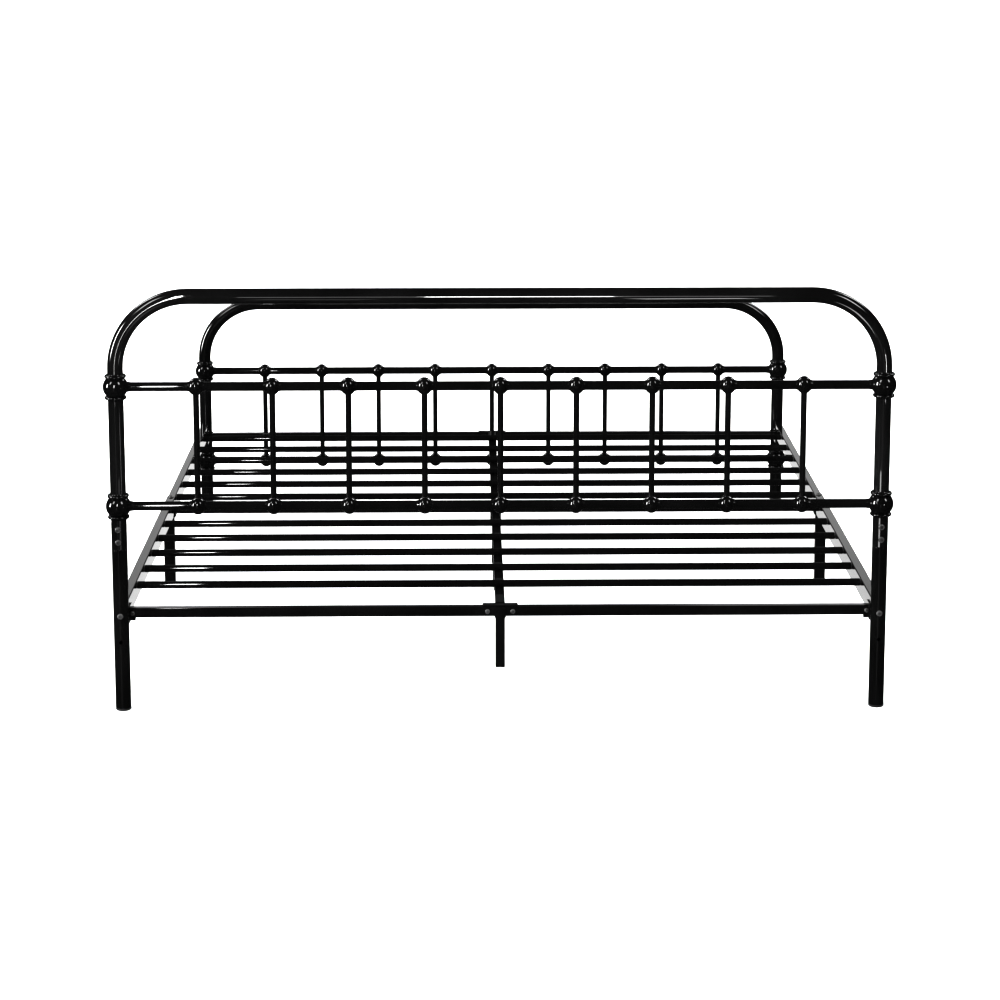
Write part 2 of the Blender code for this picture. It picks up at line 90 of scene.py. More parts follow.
CROSS_RAIL_SIZE = (0.0200, 0.0250)
CROSS_RAIL_Z = 0.2375
CROSS_RAIL_INSET = 0.060
BEAM_SIZE = (0.0245, 0.0250)
BEAM_HALF = 0.9547
BEAM_Z = 0.2425
PLATE = 0.0030
GAP = 0.0003

# The rounded rims of the post tubes: how far in and how far along, from the end.
RIM = ((0.0011, 0.0), (0.0006, 0.0002), (0.0002, 0.0006), (0.0, 0.0011))

# Bolt heads: radius and height. The first kind sinks a little into the round post.
SCREW_HEAD = (0.0080, 0.0042)
SCREW_SINK = 0.0004
PLATE_BOLT_HEAD = (0.0060, 0.0035)
TEE_BOLT_HEAD = (0.0065, 0.0036)

# Cast pieces. A collar is given by its start and end along the rail, from the ball's centre, and the radius
# at its start.
BALL_RADIUS = 0.0315
BALL_HALF_HEIGHT = 0.0225
BEAD_RADIUS = 0.0044
BEAD_CENTRE = (0.0228, 0.0270)
SLEEVE_HALF = 0.0338
POST_COLLAR = (0.0200, 0.0368, 0.0138)
SPINDLE_COLLAR = (0.0100, 0.0208, 0.0138)
ROSETTE_RADIUS = 0.0210
BALL_WAIST = 0.95
BALL_STRETCH = 1.06

# Smoothness of the round pieces.
POST_SIDES = 48
RAIL_SIDES = 36
BALL_SIDES = 40
SMALL_SIDES = 24
BEND_STEPS = 22
CREASE_DEGREES = 30

# Finishes: material name, grey of the dark and light blotches, range of roughness, grain scale and height.
FINISHES = {
    "black_paint": ("gloss_black_paint", (0.0045, 0.0095), (0.03, 0.06), 90.0, 0.0000002),
    "black_bolts": ("blackened_steel", (0.06, 0.10), (0.08, 0.12), 400.0, 0.000001),
    "black_plastic": ("matte_black_plastic", (0.025, 0.04), (0.45, 0.60), 900.0, 0.00001),
}

# The floor, just under the bed's feet.
PAPER_WHITE = (0.86, 0.86, 0.86)
FLOOR_Z = -0.0006
FLOOR_RINGS = (0.0, 4.0, 12.0, 40.0)
FLOOR_SIDES = 64

# The camera, in metres and radians. Its shift is in picture widths.
LENS_MM = 87.518
LENS_SHIFT_Y = -0.24
CAMERA_PLACE = (-0.0849, -6.9821, 2.1308)
CAMERA_PITCH = 0.16173
CAMERA_YAW = 0.01404

# The contrast of the picture: a gamma under 1 darkens the middle tones.
TONE_GAMMA = 0.6

# The studio as reflections see it: a dim room, and a wall beyond the footboard. WALL_EDGE holds the cosines
# of the angle to +Y between which the wall fades in, and WALL_RISE the sines of elevation between which its
# strength changes from the first value to the second. The camera sees a plain white backdrop instead.
ROOM_STRENGTH = 0.06
WALL_EDGE = (0.68, 0.92)
WALL_RISE = (-0.15, 0.22)
WALL_STRENGTH = (0.22, 0.15)
BACKDROP_STRENGTH = 1.05

# Bright boxes of the surround: azimuth from the camera's side, elevation, half width and half height, all
# in degrees, and strength. The edge of a box fades over BOX_EDGE of its half size on either side.
BOX_EDGE = 0.35
STUDIO_BOXES = (
    (-75, 9, 6, 12, 52),
    (-11, -13, 2.2, 13, 2.2),
    (-48, 38, 7, 11, 16),
    (48, 38, 7, 11, 16),
    (-132, 38, 7, 11, 16),
    (132, 38, 7, 11, 16),
    (171, 16, 3.5, 6, 1.25),
    (-171, 16, 3.5, 6, 1.25),
    (171, -16, 3.5, 7, 1.37),
    (-171, -16, 3.5, 7, 1.37),
)

# The soft light from above, and in degrees how wide it spreads and how far it leans.
SUN_STRENGTH = 4.8
SUN_ANGLE = 70
SUN_TILT = 8

# Area lights: place, target, width and height in metres, power in watts, and the pieces that the light
# falls on. An empty list stands for every piece.
AREA_LIGHTS = {
    "key": {
        "place": (-1.09, -2.84, 1.27),
        "target": (-1.00, -1.0, 1.00),
        "size": (0.11, 0.80),
        "power": 22,
        "falls_on": [],
    },
    "tall_key": {
        "place": (-1.09, -2.84, 1.05),
        "target": (-1.00, -1.0, 1.00),
        "size": (0.12, 1.30),
        "power": 20,
        "falls_on": ["headboard_hoop"],
    },
    "strip": {
        "place": (0.11, -4.00, 0.66),
        "target": (0.11, -1.0, 1.02),
        "size": (0.70, 0.60),
        "power": 65,
        "falls_on": ["headboard_hoop"],
    },
    "long_strip": {
        "place": (0.06, -4.05, 0.66),
        "target": (0.06, -1.0, 1.02),
        "size": (2.00, 0.60),
        "power": 22,
        "falls_on": ["headboard_hoop", "footboard_hoop"],
    },
    "low_right": {
        "place": (0.59, -1.89, 0.23),
        "target": (0.92, -1.03, 1.00),
        "size": (0.38, 0.34),
        "power": 5.0,
        "falls_on": ["headboard_hoop"],
    },
    "low_left": {
        "place": (-0.55, -1.89, 0.21),
        "target": (-0.90, -1.03, 1.00),
        "size": (0.38, 0.34),
        "power": 0.9,
        "falls_on": ["headboard_hoop"],
    },
    "side_card": {
        "place": (1.62, -2.80, 0.50),
        "target": (0.96, -1.0, 0.90),
        "size": (0.16, 0.22),
        "power": 6,
        "falls_on": ["headboard_castings", "headboard_hoop"],
    },
}


def loft(loops, closed=False):
    """Vertices and faces of a skin through loops of points. A loop of one point is a pole."""
    vertices = []
    rows = []
    for loop in loops:
        rows.append(range(len(vertices), len(vertices) + len(loop)))
        vertices.extend(loop)
    faces = []
    pairs = list(zip(rows, rows[1:]))
    if closed:
        pairs.append((rows[-1], rows[0]))
    for low, high in pairs:
        count = max(len(low), len(high))
        for i in range(count):
            j = (i + 1) % count
            corners = [low[i % len(low)], low[j % len(low)], high[j % len(high)], high[i % len(high)]]
            faces.append(list(dict.fromkeys(corners)))
    if not closed:
        for end in (rows[0], rows[-1]):
            if len(end) > 2:
                faces.append(list(end))
    return vertices, faces


def circle(radius, z, sides):
    """A loop of points round the Z axis. A radius of 0 gives a pole."""
    if radius <= 0:
        return [(0.0, 0.0, z)]
    turn = 2 * math.pi / sides
    return [(radius * math.cos(i * turn), radius * math.sin(i * turn), z) for i in range(sides)]


def turned(profile, sides, closed=False):
    """A turned shape from its profile of (radius, z) points."""
    return loft([circle(radius, z, sides) for radius, z in profile], closed)


def rounded_rectangle(width, height, corner, z, steps=4):
    """A loop in the XY plane with rounded corners."""
    loop = []
    for sx, sy, start in ((1, 1, 0), (-1, 1, 90), (-1, -1, 180), (1, -1, 270)):
        cx, cy = sx * (width / 2 - corner), sy * (height / 2 - corner)
        for step in range(steps + 1):
            angle = math.radians(start + 90 * step / steps)
            loop.append((cx + corner * math.cos(angle), cy + corner * math.sin(angle), z))
    return loop


def slab(width, height, thickness, corner=0.002, edge=0.0005):
    """A plate in the XY plane, centred, with rounded corners and softened edges."""
    half = thickness / 2
    loops = []
    for inset, z in ((edge, -half), (0, -half + edge), (0, half - edge), (edge, half)):
        size = (width - 2 * inset, height - 2 * inset)
        loops.append(rounded_rectangle(*size, max(corner - inset, 0.0002), z))
    return loft(loops)


def square_tube(width, height, length, corner, wall, blind=False):
    """A rectangular tube along Z from 0 to length. A blind one is closed by a plate at z = 0."""
    inner = (width - 2 * wall, height - 2 * wall, max(corner - wall, 0.0003))
    edge = 0.0004
    floor = 0.003 if blind else 0.0
    loops = [
        rounded_rectangle(width - 2 * edge, height - 2 * edge, corner - edge, 0),
        rounded_rectangle(width, height, corner, edge),
        rounded_rectangle(width, height, corner, length - edge),
        rounded_rectangle(width - 2 * edge, height - 2 * edge, corner - edge, length),
        rounded_rectangle(*inner, length),
        rounded_rectangle(*inner, floor),
    ]
    return loft(loops, closed=not blind)


def place(shell, matrix):
    """The same shell moved and turned by a matrix."""
    vertices, faces = shell
    return [matrix @ Vector(point) for point in vertices], faces


def at(x, y, z, rx=0.0, ry=0.0, rz=0.0):
    """A matrix that turns by degrees about X, then Y, then Z, and moves to a point."""
    turn = Matrix.Rotation(math.radians(rz), 4, "Z")
    turn = turn @ Matrix.Rotation(math.radians(ry), 4, "Y")
    turn = turn @ Matrix.Rotation(math.radians(rx), 4, "X")
    return Matrix.Translation((x, y, z)) @ turn


def build_mesh(name, shells):
    """One mesh from shells of (vertices, faces), smooth except at its creases."""
    vertices = []
    faces = []
    for points, polygons in shells:
        start = len(vertices)
        vertices.extend(tuple(point) for point in points)
        faces.extend([start + i for i in polygon] for polygon in polygons)
    mesh = bpy.data.meshes.new(name)
    mesh.from_pydata(vertices, [], faces)
    work = bmesh.new()
    work.from_mesh(mesh)
    bmesh.ops.recalc_face_normals(work, faces=work.faces)
    work.to_mesh(mesh)
    work.free()
    mesh.shade_smooth()
    mesh.set_sharp_from_angle(angle=math.radians(CREASE_DEGREES))
    return mesh


def add_piece(name, shells, look, nodes=()):
    """A piece that rides on the bed, in one of the LOOKS, and stands for the CAD nodes it names."""
    mesh = build_mesh(name, shells)
    mesh.materials.append(LOOKS[look])
    piece = bpy.data.objects.new(name, mesh)
    bpy.context.scene.collection.objects.link(piece)
    even = piece.modifiers.new("even_normals", "WEIGHTED_NORMAL")
    even.keep_sharp = True
    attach(piece, "root")
    if nodes:
        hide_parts(*nodes)
    return piece


def drilled(shell, holes):
    """The shell with round holes cut through it along Y. Each hole is (x, y, z, length)."""
    drills = []
    for x, y, z, length in holes:
        profile = [(HOLE_RADIUS, -length / 2), (HOLE_RADIUS, length / 2)]
        drills.append(place(turned(profile, SMALL_SIDES), at(x, y, z, rx=90)))
    body = bpy.data.objects.new("body", build_mesh("body", [shell]))
    drill = bpy.data.objects.new("drill", build_mesh("drill", drills))
    for thing in (body, drill):
        bpy.context.scene.collection.objects.link(thing)
    cut = body.modifiers.new("holes", "BOOLEAN")
    cut.operation = "DIFFERENCE"
    cut.object = drill
    graph = bpy.context.evaluated_depsgraph_get()
    mesh = body.evaluated_get(graph).to_mesh()
    vertices = [vertex.co.copy() for vertex in mesh.vertices]
    faces = [list(polygon.vertices) for polygon in mesh.polygons]
    body.evaluated_get(graph).to_mesh_clear()
    for thing in (body, drill):
        bpy.data.objects.remove(thing, do_unlink=True)
    return vertices, faces


def add_node(tree, kind, **values):
    """A shader node, with each value set on the input or the property of that name."""
    node = tree.nodes.new(kind)
    for name, value in values.items():
        if name in node.inputs:
            node.inputs[name].default_value = value
        else:
            setattr(node, name, value)
    return node


def noise(tree, scale, detail=3.0):
    """Noise fixed to the piece, at a scale per metre."""
    coordinates = add_node(tree, "ShaderNodeTexCoord")
    node = add_node(tree, "ShaderNodeTexNoise", Scale=scale, Detail=detail, Roughness=0.5)
    tree.links.new(coordinates.outputs["Object"], node.inputs["Vector"])
    return node.outputs["Fac"]


def spread(tree, value, low, high):
    """The middle of a noise's range, stretched to run from low to high."""
    node = add_node(tree, "ShaderNodeMapRange")
    node.inputs["From Min"].default_value = 0.3
    node.inputs["From Max"].default_value = 0.7
    node.inputs["To Min"].default_value = low
    node.inputs["To Max"].default_value = high
    tree.links.new(value, node.inputs["Value"])
    return node.outputs["Result"]


def surface(name, greys, roughness, grain_scale, grain_height):
    """A slightly uneven finish: blotches vary the colour and gloss, and a fine grain raises the surface."""
    material = bpy.data.materials.new(name)
    material.use_nodes = True
    tree = material.node_tree
    shader = tree.nodes["Principled BSDF"]
    shader.inputs["IOR"].default_value = 1.5
    blotches = noise(tree, 7.0)
    mix = add_node(tree, "ShaderNodeMix", data_type="RGBA")
    colour_inputs = [socket for socket in mix.inputs if socket.type == "RGBA"]
    for socket, grey in zip(colour_inputs, greys):
        socket.default_value = (grey, grey, grey, 1.0)
    tree.links.new(spread(tree, blotches, 0.0, 1.0), mix.inputs[0])
    colour_output = [socket for socket in mix.outputs if socket.type == "RGBA"][0]
    tree.links.new(colour_output, shader.inputs["Base Color"])
    tree.links.new(spread(tree, noise(tree, 60.0), *roughness), shader.inputs["Roughness"])
    bump = add_node(tree, "ShaderNodeBump", Strength=1.0, Distance=grain_height)
    tree.links.new(noise(tree, grain_scale, 2.0), bump.inputs["Height"])
    tree.links.new(bump.outputs["Normal"], shader.inputs["Normal"])
    return material


def make_looks():
    """The material of each look, by the name that the pieces' slots use."""
    return {look: surface(*finish) for look, finish in FINISHES.items()}


def hoop_path(bottom_z, top_z, steps=BEND_STEPS):
    """Points (x, z, direction) up the left post, over the top and down the right post."""
    bend_x, bend_z = HALF_X - BEND_RADIUS, top_z - BEND_RADIUS
    ends = [bottom_z + rise for inset, rise in RIM]
    if bottom_z < SPARE_HOLE_Z:
        ends += [SPARE_HOLE_Z - HOLE_MARGIN, SPARE_HOLE_Z + HOLE_MARGIN]
    path = [(-HALF_X, z, math.pi / 2) for z in ends]
    for side, first in ((-1, math.pi), (1, math.pi / 2)):
        for step in range(steps + 1):
            angle = first - step * math.pi / 2 / steps
            x = side * bend_x + BEND_RADIUS * math.cos(angle)
            z = bend_z + BEND_RADIUS * math.sin(angle)
            path.append((x, z, angle - math.pi / 2))
    path += [(HALF_X, z, -math.pi / 2) for z in reversed(ends)]
    return path


def hoop_tube(y, bottom_z, top_z):
    """The hollow bent tube. Its rim is rounded a little, so that the seam to the lower leg shows."""
    path = hoop_path(bottom_z, top_z)
    radii = [POST_RADIUS] * len(path)
    for i, (inset, rise) in enumerate(RIM):
        radii[i] = radii[-1 - i] = POST_RADIUS - inset
    turn = 2 * math.pi / POST_SIDES
    skins = []
    for sizes in (radii, [POST_RADIUS - POST_WALL] * len(path)):
        loops = []
        for (x, z, direction), radius in zip(path, sizes):
            out_x, out_z = -math.sin(direction), math.cos(direction)
            loop = []
            for i in range(POST_SIDES):
                across, along_y = radius * math.cos(i * turn), radius * math.sin(i * turn)
                loop.append((x + out_x * across, y + along_y, z + out_z * across))
            loops.append(loop)
        skins.append(loops)
    return loft(skins[0] + skins[1][::-1], closed=True)


def arc(radius, low, high, steps, centre=(0.0, 0.0)):
    """Profile points (radius, z) along a circle, from one elevation to another, in degrees."""
    points = []
    for step in range(steps + 1):
        angle = math.radians(low + (high - low) * step / steps)
        points.append((centre[0] + radius * math.cos(angle), centre[1] + radius * math.sin(angle)))
    return points


def post_casting():
    """A ball between two beads, with a short sleeve on each end that closes onto the post."""
    tilt = math.degrees(math.asin(BALL_HALF_HEIGHT / BALL_RADIUS))
    bead = arc(BEAD_RADIUS, 78, -78, 8, BEAD_CENTRE)
    upper = [(POST_RADIUS - 0.0010, SLEEVE_HALF), (POST_RADIUS + 0.0008, SLEEVE_HALF)]
    upper += [(POST_RADIUS + 0.0014, SLEEVE_HALF - 0.0008), (POST_RADIUS + 0.0017, SLEEVE_HALF - 0.0016)]
    upper += bead
    lower = [(radius, -z) for radius, z in reversed(upper)]
    ball = arc(BALL_RADIUS, -tilt, tilt, 14)
    return turned(lower + ball + upper[::-1], POST_SIDES)


def cone_collar(start, reach, base_radius):
    """A short taper along +Z whose tip is rounded onto the rail it holds."""
    tip = 0.0010
    profile = [(base_radius, start), (RAIL_RADIUS + tip * 0.6, reach - tip)]
    profile += [(RAIL_RADIUS + tip * 0.2, reach - tip * 0.3), (RAIL_RADIUS - 0.0006, reach)]
    return turned(profile, RAIL_SIDES)


def hoop_castings(y, lower_rail_z):
    """The four cast joints of one hoop, each with a collar round the end of its rail."""
    shells = []
    for side in (-1, 1):
        for z in (lower_rail_z, lower_rail_z + RAIL_GAP):
            shells.append(place(post_casting(), at(side * HALF_X, y, z)))
            collar = cone_collar(*POST_COLLAR)
            shells.append(place(collar, at(side * HALF_X, y, z, ry=-side * 90)))
    return shells


def add_hoops():
    """The two bent tubes and their cast joints. The footboard's tube has the spare holes of its posts."""
    head_top = HEAD_LOWER_RAIL_Z + RAIL_GAP + RAIL_TO_HOOP
    tube = hoop_tube(-HALF_Y, SEAM_Z, head_top)
    add_piece("headboard_hoop", [tube], "black_paint", ["head_hoop"])
    add_piece("headboard_castings", hoop_castings(-HALF_Y, HEAD_LOWER_RAIL_Z), "black_paint")
    foot_top = FOOT_LOWER_RAIL_Z + RAIL_GAP + RAIL_TO_HOOP
    tube = hoop_tube(HALF_Y, CAP_FLANGE + GAP, foot_top)
    tube = drilled(tube, [(side * HALF_X, HALF_Y, SPARE_HOLE_Z, 4 * POST_RADIUS) for side in (-1, 1)])
    add_piece("footboard_hoop", [tube], "black_paint", ["foot_hoop"])
    add_piece("footboard_castings", hoop_castings(HALF_Y, FOOT_LOWER_RAIL_Z), "black_paint")


def add_head_legs():
    """The lower legs, with the swaged end that plugs into the hoop and the two screws that hold it."""
    inner = POST_RADIUS - POST_WALL
    spigot = inner - GAP
    low, top = CAP_FLANGE + GAP, SEAM_Z - GAP
    profile = [(POST_RADIUS - inset, low + rise) for inset, rise in RIM]
    profile += [(POST_RADIUS, SPARE_HOLE_Z - HOLE_MARGIN), (POST_RADIUS, SPARE_HOLE_Z + HOLE_MARGIN)]
    profile += [(POST_RADIUS - inset, top - rise) for inset, rise in reversed(RIM)]
    profile += [(spigot, top), (spigot, SWAGE_TOP_Z)]
    profile += [(spigot - SWAGE_WALL, SWAGE_TOP_Z), (spigot - SWAGE_WALL, top - 0.003)]
    profile += [(inner, top - 0.006), (inner, SPARE_HOLE_Z + HOLE_MARGIN)]
    profile += [(inner, SPARE_HOLE_Z - HOLE_MARGIN), (inner, low)]
    for side, word in ((-1, "left"), (1, "right")):
        tube = place(turned(profile, POST_SIDES, closed=True), at(side * HALF_X, -HALF_Y, 0))
        tube = drilled(tube, [(side * HALF_X, -HALF_Y, SPARE_HOLE_Z, 4 * POST_RADIUS)])
        add_piece(f"headboard_leg_{word}", [tube], "black_paint", [f"head_leg_{word}"])
        y = -HALF_Y - POST_RADIUS + SCREW_SINK
        screws = [bolt_head(at(side * HALF_X, y, z, rx=90)) for z in LEG_SCREW_Z]
        add_piece(f"headboard_leg_screws_{word}", screws, "black_bolts")


def bolt_head(matrix, radius=SCREW_HEAD[0], height=SCREW_HEAD[1]):
    """A domed head with a hexagonal socket, standing on z = 0 before the matrix moves it."""
    outer = [(radius * 0.97, 0.0), (radius, height * 0.12), (radius * 0.985, height * 0.30)]
    outer += [(radius * 0.90, height * 0.58), (radius * 0.76, height * 0.80), (radius * 0.60, height * 0.94)]
    outer += [(radius * 0.50, height)]
    loops = [circle(size, z, SMALL_SIDES) for size, z in outer]
    for z in (height * 0.97, height * 0.20):
        loops.append([hexagon_point(i, radius * 0.42, z) for i in range(SMALL_SIDES)])
    loops.append([(0.0, 0.0, height * 0.15)])
    return place(loft(loops), matrix)


def hexagon_point(i, apothem, z):
    """One of SMALL_SIDES points spread by equal angles along a hexagon."""
    angle = 2 * math.pi * i / SMALL_SIDES
    nearest = math.radians(60) * round(angle / math.radians(60))
    radius = apothem / math.cos(angle - nearest)
    return radius * math.cos(angle), radius * math.sin(angle), z


def add_rails():
    """The plain round rails between the posts."""
    for end, y, low in (("head", -HALF_Y, HEAD_LOWER_RAIL_Z), ("foot", HALF_Y, FOOT_LOWER_RAIL_Z)):
        for word, z in (("lower", low), ("upper", low + RAIL_GAP)):
            half = HALF_X - POST_RADIUS - 2 * GAP
            rail = turned([(RAIL_RADIUS, -half), (RAIL_RADIUS, half)], RAIL_SIDES)
            rail = place(rail, at(0, y, z, ry=90))
            add_piece(f"{end}board_rail_{word}", [rail], "black_paint", [f"{end}_{word}_rail"])


def add_spindles():
    """Each rod with its two cast balls, and a collar round the rail on both sides of each ball."""
    ball = [(radius * BALL_WAIST, z * BALL_STRETCH) for radius, z in arc(ROSETTE_RADIUS, -86, 66, 19)]
    tip = ball[-1][1]
    neck = [(SPINDLE_RADIUS + 0.0003, tip + 0.0006), (SPINDLE_RADIUS, tip + 0.0014)]
    lower = [(0.0, -ROSETTE_RADIUS * BALL_STRETCH)] + ball + neck
    upper = [(radius, RAIL_GAP - z) for radius, z in reversed(lower)]
    rod = turned(lower + upper, BALL_SIDES)
    for end, y, low in (("head", -HALF_Y, HEAD_LOWER_RAIL_Z), ("foot", HALF_Y, FOOT_LOWER_RAIL_Z)):
        for number in range(SPINDLES):
            x = (number - (SPINDLES - 1) / 2) * SPINDLE_PITCH
            shells = [place(rod, at(x, y, low))]
            for z in (low, low + RAIL_GAP):
                for side in (-1, 1):
                    shells.append(place(cone_collar(*SPINDLE_COLLAR), at(x, y, z, ry=side * 90)))
            node = f"{end}_spindle_{number + 1}"
            add_piece(f"{end}board_spindle_{number + 1}", shells, "black_paint", [node])


def inner_face_x(y):
    """Where the inner face of a side rail is: the foot half of the rail is slimmer."""
    width = SIDE_RAIL_SIZE[0] if y < SPLICE_END_Y else SLIDE_SIZE[0]
    return HALF_X - width / 2


def add_slats():
    """Round tubes with a plastic plug in each end."""
    for number in range(SLATS):
        y = (number - (SLATS - 1) / 2) * SLAT_PITCH
        reach = inner_face_x(y) - GAP
        tube_end = reach - PLUG_LIP
        profile = [(SLAT_RADIUS - 0.0004, -tube_end), (SLAT_RADIUS, -tube_end + 0.0006)]
        profile += [(radius, -z) for radius, z in reversed(profile)]
        tube = place(turned(profile, RAIL_SIDES), at(0, y, SLAT_Z, ry=90))
        add_piece(f"slat_tube_{number + 1:02d}", [tube], "black_paint", [f"slat_{number + 1:02d}"])
        plug = turned([(SLAT_RADIUS - 0.0010, tube_end - 0.004), (SLAT_RADIUS - 0.0004, reach)], RAIL_SIDES)
        plugs = [place(plug, at(0, y, SLAT_Z, ry=side * 90)) for side in (-1, 1)]
        add_piece(f"slat_plugs_{number + 1:02d}", plugs, "black_plastic")


def add_side_rails():
    """Each side rail is a wide half from the headboard with a slimmer half inside it."""
    post_face = HALF_Y - POST_RADIUS - GAP
    for side, word in ((-1, "left"), (1, "right")):
        x = side * HALF_X
        length = post_face + SPLICE_END_Y
        head = square_tube(*SIDE_RAIL_SIZE, length, 0.0024, SIDE_RAIL_WALL, blind=True)
        head = place(head, at(x, -post_face, RAIL_BOLT_Z, rx=-90))
        nodes = [f"side_rail_{word}_head_half"]
        add_piece(f"side_rail_{word}_head", [head], "black_paint", nodes)
        length = post_face - SLIDE_END_Y
        foot = square_tube(*SLIDE_SIZE, length, 0.0020, SIDE_RAIL_WALL, blind=True)
        foot = place(foot, at(x, post_face, RAIL_BOLT_Z, rx=90))
        nodes = [f"side_rail_{word}_foot_half"]
        add_piece(f"side_rail_{word}_foot", [foot], "black_paint", nodes)
        bolt = bolt_head(at(x, SPLICE_BOLT_Y, SIDE_RAIL_TOP_Z))
        add_piece(f"side_rail_{word}_splice_bolt", [bolt], "black_bolts", [f"splice_bolt_{word}"])


def add_rail_bolts():
    """The bolts through the posts that hold the side rails."""
    for end, outward in (("head", -1), ("foot", 1)):
        for side, word in ((-1, "left"), (1, "right")):
            y = outward * (HALF_Y + POST_RADIUS - SCREW_SINK)
            bolt = bolt_head(at(side * HALF_X, y, RAIL_BOLT_Z, rx=-outward * 90))
            add_piece(f"{end}board_bolt_{word}", [bolt], "black_bolts", [f"{end}_rail_bolt_{word}"])


def add_cross_rails():
    """The deck's cross rails with their end plates and the bolts through them."""
    turn = Matrix.Rotation(math.radians(90), 4, "Y") @ Matrix.Rotation(math.radians(90), 4, "Z")
    plate_z = CROSS_RAIL_Z - 0.0020
    for end, outward in (("head", -1), ("foot", 1)):
        y = outward * (HALF_Y - CROSS_RAIL_INSET)
        facing = -outward * 90
        face = inner_face_x(y) - GAP
        half = face - PLATE
        tube = square_tube(*CROSS_RAIL_SIZE, 2 * half, 0.0018, 0.0012)
        shells = [place(tube, at(-half, y, CROSS_RAIL_Z) @ turn)]
        bolts = []
        for side in (-1, 1):
            plate = slab(0.043, 0.040, PLATE)
            shells.append(place(plate, at(side * (face - PLATE / 2), y, plate_z, ry=90)))
            leg = slab(0.017, 0.034, PLATE)
            x = side * (face - 0.0085)
            shells.append(place(leg, at(x, y + outward * 0.0115, plate_z, rx=90)))
            spot = at(side * (face - 0.009), y + outward * 0.013, CROSS_RAIL_Z, rx=facing)
            bolts.append(bolt_head(spot, *PLATE_BOLT_HEAD))
        for x in (-0.0325, 0.0325):
            spot = at(x, y + outward * 0.0098, CROSS_RAIL_Z, rx=facing)
            bolts.append(bolt_head(spot, *TEE_BOLT_HEAD))
        add_piece(f"deck_rail_{end}", shells, "black_paint", [f"{end}_cross_rail"])
        add_piece(f"deck_rail_bolts_{end}", bolts, "black_bolts")


def add_centre_beam():
    """The beam from end to end of the deck, with a tee plate and its top flange at each end."""
    tube_half = BEAM_HALF - PLATE
    tube = square_tube(*BEAM_SIZE, 2 * tube_half, 0.0018, 0.0012)
    shells = [place(tube, at(0, -tube_half, BEAM_Z, rx=-90))]
    for outward in (-1, 1):
        plate = slab(0.090, 0.0283, PLATE)
        shells.append(place(plate, at(0, outward * (BEAM_HALF - PLATE / 2), 0.23915, rx=90)))
        flange = slab(0.090, 0.020, PLATE)
        shells.append(place(flange, at(0, outward * (BEAM_HALF + 0.0085), 0.2518)))
    add_piece("deck_centre_beam", shells, "black_paint", ["centre_beam"])


def add_centre_legs():
    """The saddled leg under the beam, its screwed foot, and the short leg at the head cross rail."""
    y = -0.010
    bottom, top = 0.085, 0.2297
    tube = square_tube(0.0225, 0.0225, top - bottom, 0.0020, 0.0015)
    shells = [place(tube, at(0, y, bottom))]
    shells.append(place(slab(0.0311, 0.050, 0.0177), at(0, y, 0.22085)))
    for side in (-1, 1):
        cheek = slab(0.023, 0.050, PLATE)
        shells.append(place(cheek, at(side * 0.01405, y, 0.2385, ry=90)))
    add_piece("middle_leg", shells, "black_paint", ["centre_leg"])
    foot = [(0.0, 0.0), (0.0052, 0.0), (0.0060, 0.0010), (0.0060, 0.0200), (0.0078, 0.0208)]
    foot += [(0.0090, 0.0225), (0.0090, 0.1250), (0.0, 0.1250)]
    foot = place(turned(foot, 32), at(0, y, 0))
    add_piece("middle_leg_screwed_foot", [foot], "black_plastic", ["centre_leg_foot"])
    y = -HALF_Y + CROSS_RAIL_INSET
    bottom, top = 0.089, 0.2247
    tube = square_tube(0.024, 0.024, top - bottom, 0.0020, 0.0015)
    shells = [place(tube, at(0, y, bottom))]
    tab = slab(0.029, 0.0285, PLATE)
    shells.append(place(tab, at(0, y - 0.0118, 0.23575, rx=90)))
    add_piece("head_short_leg", shells, "black_paint", ["head_centre_leg"])


def add_side_legs():
    """The legs under the middle of the side rails, with the angle that holds each from below and inside."""
    y = 0.037
    height = 0.2232
    for side, word in ((-1, "left"), (1, "right")):
        tube = square_tube(0.032, 0.025, height, 0.0022, 0.0015)
        shells = [place(tube, at(side * 0.969, y, 0))]
        base = slab(0.0398, 0.060, PLATE)
        shells.append(place(base, at(side * 0.9666, y, height)))
        flange = slab(0.0283, 0.042, PLATE, corner=0.008)
        shells.append(place(flange, at(side * 0.9482, y, 0.23585, ry=90)))
        add_piece(f"side_support_leg_{word}", shells, "black_paint", [f"side_leg_{word}"])


def add_floor_caps():
    """The plastic caps in the lower ends of the posts, each with a flange and an insert."""
    insert, insert_top = POST_RADIUS - POST_WALL - GAP, 0.020
    profile = [(0.0, 0.0), (POST_RADIUS - 0.0012, 0.0), (POST_RADIUS, 0.0012)]
    profile += [(POST_RADIUS, CAP_FLANGE - 0.0006), (POST_RADIUS - 0.0006, CAP_FLANGE)]
    profile += [(insert, CAP_FLANGE), (insert, insert_top), (0.0, insert_top)]
    for end, y in (("head", -HALF_Y), ("foot", HALF_Y)):
        for side, word in ((-1, "left"), (1, "right")):
            cap = place(turned(profile, POST_SIDES), at(side * HALF_X, y, 0))
            add_piece(f"{end}board_cap_{word}", [cap], "black_plastic", [f"floor_cap_{end}_{word}"])


